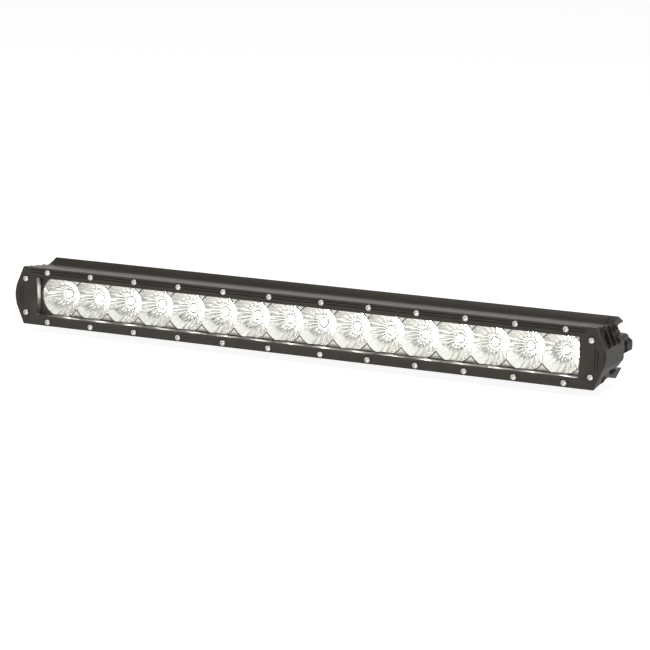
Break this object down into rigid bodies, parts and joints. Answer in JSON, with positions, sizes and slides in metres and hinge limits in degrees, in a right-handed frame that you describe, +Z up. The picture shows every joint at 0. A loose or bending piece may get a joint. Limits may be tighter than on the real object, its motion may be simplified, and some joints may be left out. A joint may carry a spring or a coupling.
{
  "type": "led light bar",
  "caption": "Slim single-row LED light bar with an octagonal bezel, chromed cups behind a clear lens, ribbed end caps and two sliding, tilting feet.",
  "frame": {"origin": "under the middle of the whole object's box, on the plane of the feet's undersides", "axes": "+X along the bar towards the cable gland end, the light shines towards -Y, +Z up"},
  "size_m": [0.5652, 0.094, 0.0605],
  "materials": {
    "black_coat": "satin black powder coat on aluminium",
    "stainless": "bright stainless steel",
    "black_steel": "satin black coated steel",
    "clear_lens": "clear, polished",
    "chrome": "mirror chrome, vacuum-metallised on moulded plastic",
    "circuit_board": "white solder mask with yellow-white emitters",
    "driver_green": "green solder mask",
    "seal_rubber": "matte black silicone",
    "black_nylon": "satin black moulded nylon"
  },
  "bodies": {
    "bar": {"housing": "black_coat", "mounting_rail_upper": "black_coat", "mounting_rail_lower": "black_coat", "bezel": "black_coat", "end_cap_left": "black_coat", "end_cap_right": "black_coat", "bezel_screw_01": "stainless", "bezel_screw_02": "stainless", "bezel_screw_03": "stainless", "bezel_screw_04": "stainless", "bezel_screw_05": "stainless", "bezel_screw_06": "stainless", "bezel_screw_07": "stainless", "bezel_screw_08": "stainless", "bezel_screw_09": "stainless", "bezel_screw_10": "stainless", "bezel_screw_11": "stainless", "bezel_screw_12": "stainless", "bezel_screw_13": "stainless", "bezel_screw_14": "stainless", "bezel_screw_15": "stainless", "bezel_screw_16": "stainless", "bezel_screw_17": "stainless", "bezel_screw_18": "stainless", "bezel_screw_19": "stainless", "bezel_screw_20": "stainless", "bezel_screw_21": "stainless", "bezel_screw_22": "stainless", "bezel_screw_23": "stainless", "bezel_screw_24": "stainless", "bezel_screw_25": "stainless", "bezel_screw_26": "stainless", "bezel_screw_27": "stainless", "bezel_screw_28": "stainless", "end_cap_screw_left_1": "black_steel", "end_cap_screw_left_2": "black_steel", "end_cap_screw_left_3": "black_steel", "end_cap_screw_left_4": "black_steel", "end_cap_screw_right_1": "black_steel", "end_cap_screw_right_2": "black_steel", "end_cap_screw_right_3": "black_steel", "end_cap_screw_right_4": "black_steel", "lens": "clear_lens", "reflector_array": "chrome", "led_board": "circuit_board", "driver_board": "driver_green", "lens_gasket": "seal_rubber", "end_gasket_left": "seal_rubber", "end_gasket_right": "seal_rubber", "cable_gland_body": "black_nylon", "cable_gland_nut": "black_nylon", "vent_plug": "black_nylon"},
    "left_slider": {"slide_block_left": "black_steel"},
    "left_foot": {"foot_left": "black_steel", "pivot_bolt_left": "stainless", "pivot_nut_left": "stainless"},
    "right_slider": {"slide_block_right": "black_steel"},
    "right_foot": {"foot_right": "black_steel", "pivot_bolt_right": "stainless", "pivot_nut_right": "stainless"}
  },
  "joints": [
    {"name": "left_slide", "type": "slide", "parent": "bar", "child": "left_slider", "axis": [1, 0, 0], "range_m": [-0.055, 0.1]},
    {"name": "left_tilt", "type": "hinge", "parent": "left_slider", "child": "left_foot", "pos_m": [-0.18, 0.03195, 0.034], "axis": [1, 0, 0], "range_deg": [-5, 25]},
    {"name": "right_slide", "type": "slide", "parent": "bar", "child": "right_slider", "axis": [1, 0, 0], "range_m": [-0.1, 0.055]},
    {"name": "right_tilt", "type": "hinge", "parent": "right_slider", "child": "right_foot", "pos_m": [0.18, 0.03195, 0.034], "axis": [1, 0, 0], "range_deg": [-5, 25]}
  ]
}
